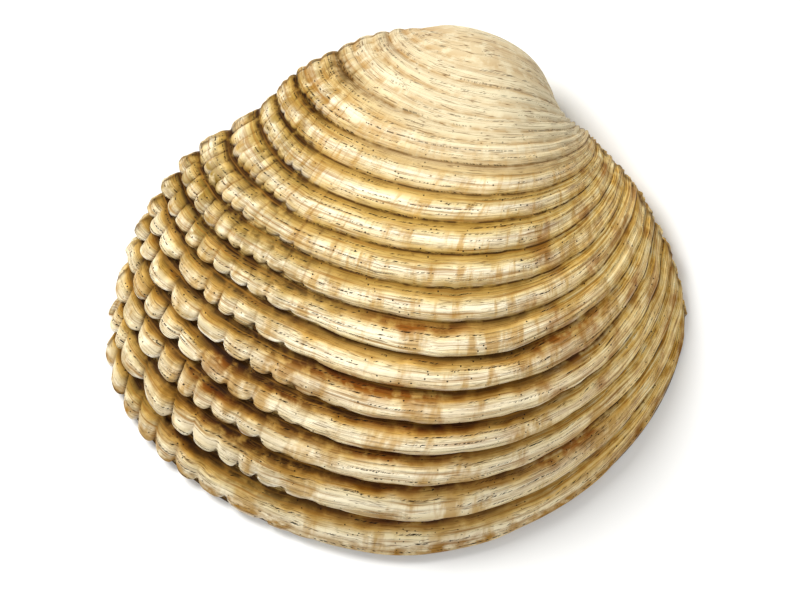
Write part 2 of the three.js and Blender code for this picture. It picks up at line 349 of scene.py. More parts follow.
@dataclass(frozen=True)
class Sculpture:
    """Ribs, beads and fine threads that stand on the smooth form.

    Heights are in millimetres. The stops of a trend are growth lines for what changes with age,
    and columns for what changes from back to front. Every grain reads the growth line first,
    apart from those of the sway, which read the column first.
    """

    first_rib: float = 1.0
    last_line: float = 16.0
    rib_height: float = 0.8
    rib_growth: Stops = ((1.0, 0.0), (2.5, 0.2), (9.0, 1.0))
    plain_growth: Stops = ((6.5, 0.42), (11.0, 1.0))
    middle_growth: Stops = ((2.5, 0.0), (5.0, 1.0))
    middle_columns: Stops = ((0.3, 0.0), (0.8, 1.0))
    shoulder_growth: Stops = ((7.0, 0.5), (12.0, 1.0))
    inner_growth: Stops = ((7.0, 0.8), (12.0, 1.0))
    inner_columns: Stops = ((0.1, 0.0), (0.35, 1.0))
    front_fade: Stops = ((1.05, 1.0), (1.75, 0.2))
    tucked_fade: Stops = ((-1.0, 0.0), (-0.4, 1.0), (2.3, 1.0), (3.0, 0.0))
    margin_fade: Stops = ((15.85, 1.0), (16.0, 0.0))
    swaying: Stops = ((3.0, 0.0), (8.0, 0.11), (15.2, 0.11), (16.0, 0.0))
    long_sway: Grain = Grain(6.0, 0.7, 61, -0.5, 0.5)
    short_sway: Grain = Grain(21.0, 0.9, 62, -0.2, 0.2)

    bead_counts: Stops = ((6.0, 23.0), (11.0, 13.0))
    bead_spacing: float = 1.19
    bead_drift: Grain = Grain(7.3, 6.0, 5, -0.55, 0.55)
    bead_reach: Stops = ((3.5, 0.6), (8.5, 1.0), (10.0, 1.0), (13.0, 1.3))
    reach_grain: Grain = Grain(0.9, 3.0, 11, 0.875, 1.125)
    single_zone: tuple[float, float] = (0.2, 0.46)
    scalloped_zone: tuple[float, float] = (0.45, 0.68)
    crown_flatness: float = 2.2
    crown_curve: float = 0.6
    bead_swell: float = 0.5
    swell_grain: Grain = Grain(5.1, 3.7, 3, 0.5, 1.5)
    bead_cut: float = 0.75
    cut_grain: Grain = Grain(4.3, 2.9, 6, 0.45, 1.25)
    scallop_cut: float = 0.25
    highest_share: float = 1.2

    young_crest: float = 0.55
    old_crest: float = 0.76
    crest_age: Stops = ((7.5, 0.0), (10.5, 1.0))
    beaded_age: float = 0.5
    near_beak: Stops = ((6.0, 1.0), (9.0, 0.0))
    soft_shoulder: Stops = ((0.0, 0.0), (0.3, 1.0))
    front_age: Stops = ((1.2, 1.0), (1.7, 0.4))
    plain_rise: float = 1.2
    beaded_rise: float = 0.8
    lip_curve: float = 2.6
    young_fall: float = 0.9
    old_fall: float = 0.5
    least_lip: float = 0.1
    lip_place: float = 0.985
    lip_grain: Grain = Grain(3.1, 22.0, 4, -0.04, 0.04)
    scallop_depth: float = 0.28
    scallop_grain: Grain = Grain(2.7, 1.9, 9, 0.0, 0.09)
    scallop_growth: Stops = ((6.0, 0.45), (11.0, 1.0))

    ridge_height: float = 0.09
    short_ridges: Grain = Grain(5.3, 9.0, 21, -0.5, 0.5)
    long_ridges: Grain = Grain(2.1, 14.0, 22, -0.5, 0.5)
    ridge_growth: Stops = ((1.0, 0.0), (4.0, 1.0))
    front_ridges: Stops = ((1.0, 1.0), (1.7, 2.2), (1.8, 2.2), (2.0, 3.2))
    beaded_ridges: Stops = ((5.0, 0.0), (9.0, 0.8))
    wrinkle_growth: Stops = ((5.0, 0.0), (8.0, 0.1))
    short_wrinkles: Grain = Grain(6.1, 42.0, 23, -0.5, 0.5)
    wide_wrinkles: Grain = Grain(3.3, 25.0, 24, -0.5, 0.5)
    young_ribs_per_line: float = 3.0
    young_curve: float = 0.7
    young_lines: Stops = ((0.9, 0.0), (2.2, 1.0), (3.6, 1.0), (5.5, 0.0))
    young_heights: Stops = ((0.15, 0.26), (0.6, 0.14))
    young_cut: float = 0.45

    def swayed(self, t: Array, q: Array) -> Array:
        """Growth lines with the small waves in which the ribs and grooves run."""
        return t + (self.long_sway.at(q, t) + self.short_sway.at(q, t)) * trend(self.swaying, t)

    def phase(self, t: Array, q: Array) -> Array:
        """Counts the beads along each rib, whole on their crowns.

        Args:
            t: growth lines.
            q: columns, of the same shape as t.

        Returns:
            The count, which drifts on each rib in its own way.
        """
        rib = np.floor(t)
        counted = trend(self.bead_counts, rib) * np.sign(q) * np.abs(q) ** self.bead_spacing
        return counted + self.bead_drift.at(rib, q)

    def beads(self, t: Array, q: Array) -> tuple[Array, Array]:
        """Finds the bead that each point belongs to.

        Args:
            t: growth lines.
            q: columns, of the same shape as t.

        Returns:
            How far each point lies up its bead, from 0 in a notch to 1 on its crown, and the
            number of the bead.
        """
        phase = self.phase(t, q)
        number = np.round(phase)
        across = np.abs(2 * (phase - number))
        return (1 - across**self.crown_flatness) ** self.crown_curve, number

    def zones(self, t: Array, q: Array) -> tuple[Array, Array]:
        """Finds where ribs break into single beads and where only their lips are scalloped.

        Args:
            t: growth lines.
            q: columns, of the same shape as t.

        Returns:
            The share of each, from 0 to 1.
        """
        reach = trend(self.bead_reach, t) * self.reach_grain.at(t, q)
        single, scalloped = (
            1 - smoothstep(start * reach, end * reach, q)
            for start, end in (self.single_zone, self.scalloped_zone)
        )
        return single, scalloped

    def height(self, t: Array, q: Array) -> tuple[Array, Array]:
        """Height of the relief.

        Args:
            t: growth lines.
            q: columns, of the same shape as t.

        Returns:
            The height in millimetres, and the height of the ribs alone as a share of their own.
        """
        single, scalloped = self.zones(t, q)
        wart = self._warts(t, q, single, scalloped)
        band = self._band(t, q, scalloped)
        ribs = self._rib_size(t, q, scalloped) * band * wart
        fine = self._ridges(t, q, scalloped) + self._low_ribs(t, q, single)
        fade = trend(self.tucked_fade, q) * trend(self.margin_fade, t)
        return (ribs + fine) * fade, band * np.clip(wart, 0, self.highest_share)

    def _rib_size(self, t: Array, q: Array, scalloped: Array) -> Array:
        """Full height of the ribs, which grow with age and fade near the beak and the front.

        Args:
            t: growth lines.
            q: columns.
            scalloped: where the lips are scalloped.

        Returns:
            The height in millimetres.
        """
        grown = trend(self.rib_growth, t) * mix(trend(self.plain_growth, t), 1.0, scalloped)
        shoulder, inner = trend(self.shoulder_growth, t), trend(self.inner_growth, t)
        grown = grown * mix(shoulder, inner, trend(self.inner_columns, q))
        grown = grown * mix(1.0, trend(self.middle_growth, t), trend(self.middle_columns, q))
        return self.rib_height * grown * (t > self.first_rib) * trend(self.front_fade, q)

    def _warts(self, t: Array, q: Array, single: Array, scalloped: Array) -> Array:
        """Swells the ribs into warts and cuts notches between them.

        Args:
            t: growth lines.
            q: columns.
            single: where ribs break into single beads.
            scalloped: where the lips are scalloped.

        Returns:
            The factor for the height of the ribs.
        """
        rib = np.floor(t)
        bead, number = self.beads(t, q)
        swell = self.bead_swell * bead * self.swell_grain.at(rib, number)
        cut = self.bead_cut * self.cut_grain.at(rib, np.floor(self.phase(t, q)))
        lips_alone = (scalloped - single) * self.scallop_cut * (1 - bead)
        return 1 + single * (swell - cut * (1 - bead)) - lips_alone

    def _ridges(self, t: Array, q: Array, scalloped: Array) -> Array:
        """Small ridges along the growth lines, and wrinkles on the beads.

        Args:
            t: growth lines.
            q: columns.
            scalloped: where the lips are scalloped.

        Returns:
            The height in millimetres.
        """
        ridges = self.ridge_height * (self.short_ridges.at(t, q) + self.long_ridges.at(t, q))
        ridges = ridges * (trend(self.front_ridges, q) + trend(self.beaded_ridges, t) * scalloped)
        wrinkles = self.short_wrinkles.at(t, q) + self.wide_wrinkles.at(t, q)
        wrinkles = wrinkles * trend(self.wrinkle_growth, t) * scalloped
        return (ridges + wrinkles) * trend(self.ridge_growth, t)

    def _low_ribs(self, t: Array, q: Array, single: Array) -> Array:
        """Height of the low ribs near the beak, notched where older ribs break into beads."""
        notched = 1 - self.young_cut * (1 - self.beads(t, q)[0]) * single
        return self.young_ribs(t) * notched * trend(self.young_heights, q)

    def young_ribs(self, t: Array) -> Array:
        """The low ribs near the beak, from 0 in their grooves to 1 on their crests."""
        wave = np.abs(np.sin(math.pi * self.young_ribs_per_line * t)) ** self.young_curve
        return wave * trend(self.young_lines, t)

    def lip(self, t: Array, q: Array) -> Array:
        """Finds where each rib ends at its lip.

        Args:
            t: growth lines.
            q: columns, of the same shape as t.

        Returns:
            The lip's place, as a share of the way to the next growth line.
        """
        rib = np.floor(t)
        scalloped = self.zones(t, q)[1]
        bead, number = self.beads(t, q)
        drawn_back = self.scallop_depth * (1 - bead) + self.scallop_grain.at(rib, number)
        drawn_back = drawn_back * trend(self.scallop_growth, t)
        return self.lip_place + np.minimum(self.lip_grain.at(rib, q), 0) - scalloped * drawn_back

    def _band(self, t: Array, q: Array, scalloped: Array) -> Array:
        """Draws the section of a rib: a rise from the groove, a round crest and a steep lip.

        Args:
            t: growth lines.
            q: columns.
            scalloped: where the lips are scalloped.

        Returns:
            The height, from 0 to 1.
        """
        f = t - np.floor(t)
        lip = self.lip(t, q)
        softened = mix(1.0, trend(self.soft_shoulder, q), trend(self.near_beak, t))
        age = np.maximum(trend(self.crest_age, t), self.beaded_age * scalloped * softened)
        age = age * trend(self.front_age, q)
        crest = mix(self.young_crest, self.old_crest, age) + self.lip_grain.at(np.floor(t), q)
        crest = np.minimum(crest, lip - self.least_lip)
        rise = np.sin(math.pi / 2 * np.clip(f / crest, 0, 1))
        rise = rise ** mix(self.plain_rise, self.beaded_rise, scalloped)
        fall = 1 - (np.clip(f - crest, 0, 1) / (lip - crest)) ** self.lip_curve
        fall = np.clip(fall, 0, 1) ** mix(self.young_fall, self.old_fall, age)
        return np.where(f < crest, rise, fall)


@dataclass(frozen=True)
class Stain:
    """A soft brown stain that runs along the ribs, by its growth line and column."""

    line: float
    column: float
    depth: float
    run: float
    strength: float

    def at(self, t: Array, q: Array) -> Array:
        """How strong the stain is at each point."""
        away = ((t - self.line) / self.depth) ** 2 + ((q - self.column) / self.run) ** 2
        return self.strength * np.exp(-away)


@dataclass(frozen=True)
class WeatheringAndPaintedLight:
    """Where dirt, stain and wear lie on the valve, and where shade and highlight are painted on it.

    The stops of a trend are growth lines, columns, places f between two growth lines (from 0 in
    a groove to 1 at the next), or values of a grain or a share. Every grain reads the column
    first.
    """

    stains: tuple[Stain, ...] = (
        Stain(9.15, 0.9, 0.25, 0.16, 1.0), Stain(9.25, 0.857, 0.3, 0.02, 0.9),
        Stain(11.1, 0.85, 0.4, 0.2, 1.5), Stain(10.2, 1.32, 0.5, 0.12, 0.9),
        Stain(10.8, 1.42, 0.5, 0.08, 1.0), Stain(10.5, 1.54, 0.6, 0.1, 0.8),
        Stain(12.9, 0.45, 0.5, 0.05, 1.1), Stain(12.2, 0.47, 0.5, 0.06, 0.9),
        Stain(12.05, 0.62, 0.4, 0.08, 1.0), Stain(11.5, 0.6, 0.4, 0.1, 0.7),
        Stain(14.5, 1.47, 0.5, 0.06, 0.9), Stain(14.1, 1.38, 0.4, 0.09, 0.9),
        Stain(12.0, 0.97, 0.35, 0.25, 1.0), Stain(13.05, 0.9, 0.35, 0.25, 1.0),
        Stain(14.0, 0.95, 0.3, 0.3, 0.9), Stain(15.0, 0.95, 0.25, 0.25, 0.8),
        Stain(13.1, 0.45, 0.4, 0.2, 0.7), Stain(14.1, 0.5, 0.4, 0.2, 0.7),
        Stain(15.0, 0.39, 0.4, 0.06, 0.8), Stain(1.5, 1.125, 0.35, 0.05, 0.25),
        Stain(2.1, 0.24, 0.3, 0.08, 0.3),
    )
    stain_beside_lip: Stops = ((0.05, 1.25), (0.55, 0.35), (0.75, 0.35), (0.95, 0.85))
    smear_grain: Grain = Grain(22.0, 1.6, 81)
    smear_patches: Stops = ((0.62, 0.0), (0.9, 0.7))
    smear_columns: Stops = ((1.0, 0.0), (1.4, 1.0))
    smear_growth: Stops = ((3.0, 0.0), (6.0, 1.0))
    strongest_stain: float = 0.95

    back_ribbed: Stops = ((1.6, 0.0), (4.0, 1.0))
    middle_ribbed: Stops = ((2.5, 0.0), (5.5, 1.0))
    middle_columns: Stops = ((0.3, 0.0), (0.8, 1.0))
    front_columns: Stops = ((1.1, 0.0), (1.75, 1.0))
    front_growth: Stops = ((2.0, 0.0), (4.0, 1.0))

    narrowest_groove: float = 0.05
    groove_widening: float = 0.36
    long_widths: Grain = Grain(6.0, 1.1, 32)
    short_widths: Grain = Grain(17.0, 0.8, 31)
    groove_grain: Grain = Grain(5.0, 0.9, 33, 0.3, 1.2)
    groove_growth: Stops = ((8.0, 0.5), (11.0, 1.2))
    beaded_groove_growth: Stops = ((3.0, 0.0), (6.0, 0.5))
    groove_front_fade: float = 0.7
    outline_width: Stops = ((0.0, 0.8), (0.03, 0.0))
    tucked_stretch: float = 0.3
    outline_growth: Stops = ((0.4, 0.0), (3.0, 1.0))
    margin_line: Stops = ((15.84, 0.0), (15.92, 0.85))

    notch_grain: Grain = Grain(5.0, 0.8, 45, 0.0, 0.3)
    notched_columns: Stops = ((0.55, 1.0), (0.95, 0.0))
    corner_grain: Grain = Grain(14.0, 1.3, 46, 0.3, 1.4)
    corner_curve: float = 0.7
    corner_place: Stops = ((0.1, 1.0), (0.55, 0.0))
    corner_growth: Stops = ((4.0, 0.0), (9.0, 1.0))
    hollow_shade_by_height: Stops = ((0.15, 1.0), (0.75, 0.0))

    scalloped_khaki: float = 0.8
    khaki_grain: Grain = Grain(15.0, 1.0, 43, 0.25, 1.15)
    khaki_age: Stops = ((9.0, 1.0), (12.0, 0.6))
    gold_lines: Stops = ((0.8, 0.0), (1.6, 1.0), (3.6, 1.0), (5.5, 0.0))
    gold_columns: Stops = ((0.2, 0.9), (0.8, 0.6))
    margin_band: Stops = ((15.5, 0.0), (15.7, 1.0))
    margin_grain: Grain = Grain(30.0, 2.0, 71, 0.3, 1.2)

    rim_place: Stops = ((0.8, 0.0), (0.9, 1.0), (0.95, 1.0), (1.0, 0.0))
    plain_rim: float = 0.4
    scalloped_rim: float = 0.9
    rim_grain: Grain = Grain(14.0, 1.3, 51)
    rim_patches: Stops = ((0.3, 0.0), (0.7, 1.0))
    rim_growth: Stops = ((7.0, 0.3), (11.0, 1.0))
    rim_stained: float = 0.8

    def masks(self, t: Array, q: Array, share: Array, relief: Sculpture) -> dict[str, Array]:
        """Works out every mask that the outer finish reads.

        Args:
            t: growth line of each point.
            q: column of each point.
            share: height of each point as a share of its rib.
            relief: the sculpture that they lie on.

        Returns:
            The masks, most of them from 0 to 1, by name.
        """
        f = t - np.floor(t)
        single, scalloped = relief.zones(t, q)
        middle = trend(self.middle_columns, q)
        ribbed = mix(trend(self.back_ribbed, t), trend(self.middle_ribbed, t), middle)
        front = trend(self.front_columns, q)
        groove = self._groove_dirt_and_shade(t, q, f, scalloped) * ribbed * (1 - self.groove_front_fade * front)
        notched = trend(self.notched_columns, q + self.notch_grain.at(q, t))
        corner = self._notch_foot_shade(t, q, f, relief.beads(t, q)[0]) * notched
        # pit is painted shade: darker where a point lies low on its bead and at the foot of the notches.
        pit = np.maximum(trend(self.hollow_shade_by_height, share) * scalloped, corner)
        khaki = np.maximum(single, self.scalloped_khaki * scalloped) * self.khaki_grain.at(q, t)
        stain = self._spots(t, q, f)
        clean = 1 - self.rim_stained * np.clip(stain, 0, 1)
        # rim is partly wear and partly a painted highlight along the lip edges.
        rim = self._lip_wear_and_highlight(t, q, f / relief.lip(t, q)) * mix(self.plain_rim, self.scalloped_rim, scalloped)
        return {
            "ribbed": ribbed,
            "front": front * trend(self.front_growth, t),
            "groove": np.clip(np.maximum(groove, self._outline(t, q)), 0, 1),
            "rim": rim * ribbed * clean,
            "notched": notched,
            "pit": np.clip(pit, 0, 1) * ribbed,
            "khaki": khaki * ribbed * trend(self.khaki_age, t),
            "gold": self._gold(t, q, relief),
            "stain": np.clip(stain, 0, self.strongest_stain),
        }

    def _groove_dirt_and_shade(self, t: Array, q: Array, f: Array, scalloped: Array) -> Array:
        """Dirt and painted shade in the grooves below the lips, wider and darker in some places than in
        others.

        Args:
            t: growth lines.
            q: columns.
            f: places between two growth lines.
            scalloped: where the lips are scalloped.

        Returns:
            How dark it is.
        """
        widening = self.long_widths.at(q, t) * self.short_widths.at(q, t)
        wide = self.narrowest_groove + self.groove_widening * widening
        depth = self.groove_grain.at(q, t) * trend(self.groove_growth, t)
        depth = depth + trend(self.beaded_groove_growth, t) * scalloped
        return (1 - smoothstep(0.0, 1.0, f / wide)) * depth

    def _outline(self, t: Array, q: Array) -> Array:
        """Thin dark line along both shoulders and the margin.

        Args:
            t: growth lines.
            q: columns.

        Returns:
            How dark it is.
        """
        from_back = np.where(q < 0, -self.tucked_stretch * q, q)
        from_front = np.where(q > 2, self.tucked_stretch * (q - 2), 2 - q)
        beside = np.minimum(from_back, from_front)
        shoulders = trend(self.outline_width, beside) * trend(self.outline_growth, t)
        return np.maximum(shoulders, trend(self.margin_line, t))

    def _notch_foot_shade(self, t: Array, q: Array, f: Array, bead: Array) -> Array:
        """Painted shade at the foot of the notches between beads.

        Args:
            t: growth lines.
            q: columns.
            f: places between two growth lines.
            bead: how far each point lies up its bead.

        Returns:
            How dark it is.
        """
        foot = (1 - bead) ** self.corner_curve * trend(self.corner_place, f)
        return foot * self.corner_grain.at(q, t) * trend(self.corner_growth, t)

    def _spots(self, t: Array, q: Array, f: Array) -> Array:
        """Brown stains in their places, and smears on the front part.

        Args:
            t: growth lines.
            q: columns.
            f: places between two growth lines.

        Returns:
            How strong they are.
        """
        placed = sum(stain.at(t, q) for stain in self.stains) * trend(self.stain_beside_lip, f)
        smears = trend(self.smear_patches, self.smear_grain.at(q, t))
        smears = smears * trend(self.smear_columns, q) * trend(self.smear_growth, t)
        return np.maximum(placed, smears)

    def _gold(self, t: Array, q: Array, relief: Sculpture) -> Array:
        """Golden tone in the low grooves near the beak and in a band along the margin.

        Args:
            t: growth lines.
            q: columns.
            relief: the sculpture that it lies on.

        Returns:
            How strong it is.
        """
        young = (1 - relief.young_ribs(t)) * trend(self.gold_lines, t) * trend(self.gold_columns, q)
        return np.maximum(young, trend(self.margin_band, t) * self.margin_grain.at(q, t))

    def _lip_wear_and_highlight(self, t: Array, q: Array, reach: Array) -> Array:
        """Wear and a painted highlight that whiten the lips, more on the older ribs.

        Args:
            t: growth lines.
            q: columns.
            reach: how far each point lies on the way to its lip.

        Returns:
            How white they are.
        """
        worn = trend(self.rim_patches, self.rim_grain.at(q, t))
        return trend(self.rim_place, reach) * worn * trend(self.rim_growth, t)


def linear(hex_colour: str) -> tuple[float, float, float, float]:
    """Turns an sRGB colour into a linear one.

    Args:
        hex_colour: six hex digits, such as "F3E6C4".

    Returns:
        Red, green, blue and an alpha of 1.
    """
    parts = [int(hex_colour[i:i + 2], 16) / 255 for i in (0, 2, 4)]
    r, g, b = (p / 12.92 if p <= 0.04045 else ((p + 0.055) / 1.055) ** 2.4 for p in parts)
    return r, g, b, 1.0


def add(
    tree: Tree, kind: str, inputs: dict[Any, Any], out: int | str = 0, **settings: Any
) -> Socket:
    """Adds one shader node.

    Args:
        tree: the node tree that gets it.
        kind: the node type, without its leading "ShaderNode".
        inputs: values for its inputs, by name or number; a socket is linked.
        out: which of its outputs is wanted.
        settings: attributes of the node.

    Returns:
        The wanted output.
    """
    node = tree.nodes.new("ShaderNode" + kind)
    for name, value in settings.items():
        setattr(node, name, value)
    for place, value in inputs.items():
        if isinstance(value, Socket):
            tree.links.new(value, node.inputs[place])
        else:
            node.inputs[place].default_value = value
    return node.outputs[out]


def blank_material(name: str) -> tuple[bpy.types.Material, bpy.types.Node]:
    """Makes a material with only its shader.

    Args:
        name: the material's name.

    Returns:
        The material and its shader node.
    """
    material = bpy.data.materials.new(name)
    material.use_nodes = True
    return material, material.node_tree.nodes["Principled BSDF"]


class Coat(Enum):
    """How a tone lies on the colour below it: over it like paint, or through it like tea."""

    COVER = "MIX"
    GLAZE = "MULTIPLY"


@dataclass(frozen=True)
class RibbedAragonite:
    """Outer layer of the shell: chalky aragonite laid down in growth threads.

    Dry, worn aragonite scatters light softly. Its threads catch dirt as fine dark dashes, and
    the grooves under the rib lips hold brown stain. Part of the shade under the lips, in the
    furrows and between the beads, and a highlight on the lip edges, are painted into its colour.
    Its real grit is too fine to show, so grit_mm draws it coarser. Each method that lays a coat
    is handed the material's nodes, what the finish reads from the piece and the colour so far.
    """

    umbo: str = "D3C6A4"
    # Both rib ramps paint part of the ribs' shading over their own tones: shade in the hollow under each
    # lip and towards the lip, highlight on the crest.
    young_rib_shaded: tuple[tuple[float, str], ...] = (
        (0.0, "8E6B28"), (0.1, "A6833C"), (0.24, "C3A25C"), (0.4, "DFCD9B"), (0.52, "EDE2C4"),
        (0.7, "E5D4AB"), (0.86, "C6A96C"), (0.97, "9E7E3A"),
    )
    old_rib_shaded: tuple[tuple[float, str], ...] = (
        (0.0, "351A03"), (0.1, "533008"), (0.2, "845510"), (0.3, "C89D4E"), (0.41, "EAD8AA"),
        (0.6, "F5EACB"), (0.9, "E8D7A8"), (0.97, "CFAF6A"),
    )
    front_rib: tuple[tuple[float, str], ...] = (
        (0.3, "6E430A"), (0.4, "B98228"), (0.48, "DEB156"), (0.56, "F2D388"), (0.68, "FBEDBC"),
    )
    layers: tuple[tuple[str, str, Coat], ...] = (
        ("khaki", "8C702E", Coat.COVER), ("gold", "A0742C", Coat.COVER),
        # The groove layer is brown dirt with painted shade under the lips; the stain layer is real
        # stain.
        ("groove", "3A1E03", Coat.COVER), ("stain", "AB7420", Coat.GLAZE),
        # The pit layer is painted shade in the hollows between the beads.
        # The rim layer is partly wear and partly a painted highlight along the lips.
        ("pit", "281403", Coat.COVER), ("rim", "FBF5E2", Coat.COVER),
    )
    places: tuple[str, ...] = ("line", "along", "phase", "ribbed", "front", "notched")
    patch: str = "BA9046"
    # Colour of the painted shade in the furrows between growth threads and in the notches between beads.
    furrow_shade: str = "8A5F22"
    hairline: str = "5A3A10"
    # Colour of the painted shadow under each rib lip.
    lip_shadow: str = "452A0A"
    ink: str = "160D04"
    roughness: float = 0.6
    ior: float = 1.53
    specular: float = 0.05
    streak_mm: float = 8.0
    streaks_per_rib: float = 12.0
    sway_mm: float = 2.2
    band_sway: float = 0.16
    smear_mm: float = 6.0
    striped_share: float = 0.75
    chop_mm: float = 1.3
    patches_per_bead: float = 0.8
    patches_per_rib: float = 0.45
    notch_uneven: float = 0.3
    blot_mm: float = 1.0
    threads_per_rib: float = 5.0
    thread_sway: float = 0.35
    dash_width: float = 0.08
    dash_mm: float = 0.2
    chain_mm: float = 7.0
    dash_shift: float = 7.31
    dash_noise: float = 0.52
    speck_mm: float = 0.6
    speck_size: float = 0.13
    crowd_mm: float = 2.0
    crowd_noise: float = 0.5
    grit_mm: float = 0.22
    grit_share: float = 0.2
    thread_depth_mm: float = 0.25

    def build(self) -> bpy.types.Material:
        """Makes the material.

        Returns:
            The finished material.
        """
        material, shader = blank_material("weathered_aragonite_growth_ribs")
        tree = material.node_tree
        shader.inputs["Roughness"].default_value = self.roughness
        shader.inputs["IOR"].default_value = self.ior
        shader.inputs["Specular IOR Level"].default_value = self.specular
        names = [*self.places, *(name for name, _, _ in self.layers)]
        reads = {name: add(tree, "Attribute", {}, "Fac", attribute_name=name) for name in names}
        reads["place"] = add(tree, "TexCoord", {}, "Object")
        reads["across"] = add(tree, "Math", {0: reads["line"]}, operation="FRACT")
        reads["streak"] = self._streaks(tree, reads)
        reads["ray"] = self._rays(tree, reads)
        coats = (
            self._patched, self._notch_shaded, self._stained, self._furrow_shaded, self._lip_shadow_lines, self._inked,
        )
        colour = self._banded(tree, reads)
        for coat in coats:
            colour = coat(tree, reads, colour)
        tree.links.new(colour, shader.inputs["Base Color"])
        tree.links.new(self._relief(tree, reads), shader.inputs["Normal"])
        return material

    def _streaks(self, tree: Tree, reads: dict[str, Socket]) -> Socket:
        """Makes noise drawn out along the growth lines, fine across them.

        Args:
            tree: the material's nodes.
            reads: what the finish reads from the piece.

        Returns:
            The noise.
        """
        run = add(tree, "Math", {0: reads["along"], 1: self.streak_mm}, operation="DIVIDE")
        row = add(tree, "Math", {0: reads["line"], 1: self.streaks_per_rib}, operation="MULTIPLY")
        spot = add(tree, "CombineXYZ", {0: run, 1: row})
        noise = {"Vector": spot, "Scale": 1.0, "Detail": 2.5, "Roughness": 0.55}
        return add(tree, "TexNoise", noise, "Fac")

    def _rays(self, tree: Tree, reads: dict[str, Socket]) -> Socket:
        """Makes noise that runs on from rib to rib, with about one patch for each bead.

        Args:
            tree: the material's nodes.
            reads: what the finish reads from the piece.

        Returns:
            The noise.
        """
        column = {0: reads["phase"], 1: self.patches_per_bead}
        column = add(tree, "Math", column, operation="MULTIPLY")
        age = add(tree, "Math", {0: reads["line"], 1: self.patches_per_rib}, operation="MULTIPLY")
        spot = add(tree, "CombineXYZ", {0: column, 1: age})
        noise = {"Vector": spot, "Scale": 1.0, "Detail": 4.0, "Roughness": 0.65}
        return add(tree, "TexNoise", noise, "Fac")

    @staticmethod
    def _ramp(tree: Tree, share: Socket, tones: Sequence[tuple[float, str]]) -> Socket:
        """Reads a row of tones off a value.

        Args:
            tree: the material's nodes.
            share: the value, from 0 to 1.
            tones: the place and hex colour of each tone.

        Returns:
            The colour.
        """
        colour = add(tree, "ValToRGB", {"Fac": share})
        stops = colour.node.color_ramp.elements
        for at, _ in tones[len(stops):]:
            stops.new(at)
        for stop, (at, tone) in zip(stops, tones):
            stop.position, stop.color = at, linear(tone)
        return colour

    def _banded(self, tree: Tree, reads: dict[str, Socket]) -> Socket:
        """Colours each rib from its golden hollow over a cream crest to its lip, with part of its shade
        and highlight painted in: darker in the hollow under each lip and towards the lip, lighter on the
        crest.

        Args:
            tree: the material's nodes.
            reads: what the finish reads from the piece.

        Returns:
            The colour.
        """
        place, line = reads["place"], reads["line"]
        sway = {"Vector": place, "Scale": 1 / (self.sway_mm * MM), "Detail": 3.0}
        sway = add(tree, "TexNoise", sway, "Fac")
        shift = {"Value": sway, "To Min": -self.band_sway, "To Max": self.band_sway}
        shift = add(tree, "MapRange", shift)
        share = add(tree, "Math", {0: reads["across"], 1: shift}, operation="ADD", use_clamp=True)
        run = add(tree, "Math", {0: reads["along"], 1: self.smear_mm}, operation="DIVIDE")
        spot = add(tree, "CombineXYZ", {0: run, 1: line})
        smear = add(tree, "TexNoise", {"Vector": spot, "Scale": 1.0}, "Fac")
        uneven = {"Value": smear, "From Min": 0.35, "From Max": 0.6, "To Min": 0.3}
        uneven = add(tree, "MapRange", uneven)
        old = add(tree, "MapRange", {"Value": line, "From Min": 7.5, "From Max": 10.5})
        old = add(tree, "Math", {0: old, 1: uneven}, operation="MULTIPLY")
        young_band = self._ramp(tree, share, self.young_rib_shaded)
        old_band = self._ramp(tree, share, self.old_rib_shaded)
        tones = {SHARE: old, UNDER: young_band, OVER: old_band}
        band = add(tree, "Mix", tones, MIXED, data_type="RGBA")
        chop = {"Vector": place, "Scale": 1 / (self.chop_mm * MM), "Detail": 3.0}
        chop = add(tree, "TexNoise", chop, "Fac")
        chopped = add(tree, "Mix", {"Factor": 0.5, "A": reads["streak"], "B": chop})
        front = add(tree, "Math", {0: reads["front"], 1: self.striped_share}, operation="MULTIPLY")
        tones = {SHARE: front, UNDER: band, OVER: self._ramp(tree, chopped, self.front_rib)}
        band = add(tree, "Mix", tones, MIXED, data_type="RGBA")
        tones = {SHARE: reads["ribbed"], UNDER: linear(self.umbo), OVER: band}
        return add(tree, "Mix", tones, MIXED, data_type="RGBA")

    def _patched(self, tree: Tree, reads: dict[str, Socket], colour: Socket) -> Socket:
        """Lays soft tan patches on the crests.

        Args:
            tree: the material's nodes.
            reads: what the finish reads from the piece.
            colour: the colour below.

        Returns:
            The colour with its patches.
        """
        patch = {"Value": reads["ray"], "From Min": 0.5, "From Max": 0.62, "To Max": 0.75}
        patch = add(tree, "MapRange", patch)
        crest = add(tree, "MapRange", {"Value": reads["across"], "From Min": 0.15, "From Max": 0.4})
        share = add(tree, "Math", {0: patch, 1: crest}, operation="MULTIPLY")
        share = add(tree, "Math", {0: share, 1: reads["ribbed"]}, operation="MULTIPLY")
        tones = {SHARE: share, UNDER: colour, OVER: linear(self.patch)}
        return add(tree, "Mix", tones, MIXED, data_type="RGBA")

